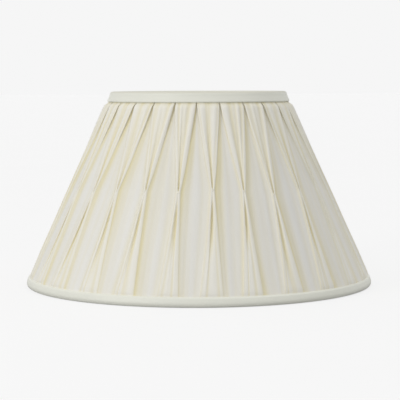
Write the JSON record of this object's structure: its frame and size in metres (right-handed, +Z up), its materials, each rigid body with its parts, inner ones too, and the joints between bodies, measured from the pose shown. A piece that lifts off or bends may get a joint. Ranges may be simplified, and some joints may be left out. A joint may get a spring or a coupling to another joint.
{
  "type": "lamp shade",
  "caption": "Empire lamp shade with a hand-pinched pleated cover, bound rims, a wire frame and lining, and a reversible gimbal ring that takes the lamp holder.",
  "frame": {"origin": "centre of the bottom rim, on the surface that the shade stands on", "axes": "+Z up through the shade, X along the gimbal's arms and pivot"},
  "size_m": [0.4, 0.4, 0.2225],
  "materials": {
    "silk": "satin",
    "binding": "satin",
    "cotton": "matte",
    "lining": "satin",
    "coated_wire": "semi-gloss",
    "rivet": "zinc plated",
    "plastic": "satin"
  },
  "bodies": {
    "shade": {"pleated_cover": "silk", "backing": "cotton", "lining": "lining", "bottom_trim": "binding", "top_trim": "binding", "bottom_ring": "coated_wire", "bottom_ring_binding": "cotton", "top_ring": "coated_wire", "top_ring_binding": "cotton", "strut_1": "coated_wire", "strut_2": "coated_wire", "strut_3": "coated_wire", "strut_4": "coated_wire", "strut_5": "coated_wire", "strut_6": "coated_wire", "strut_7": "coated_wire", "strut_8": "coated_wire", "gimbal_arm_left": "coated_wire", "gimbal_arm_right": "coated_wire", "pivot_rivet_left": "rivet", "pivot_rivet_right": "rivet"},
    "gimbal": {"stirrup_leg_left": "coated_wire", "stirrup_leg_right": "coated_wire", "fitter_ring": "coated_wire", "reducer_ring": "plastic"}
  },
  "joints": [
    {"name": "gimbal_pivot", "type": "hinge", "parent": "shade", "child": "gimbal", "pos_m": [0, 0, 0.2075], "axis": [1, 0, 0], "range_deg": [0, 180]}
  ]
}
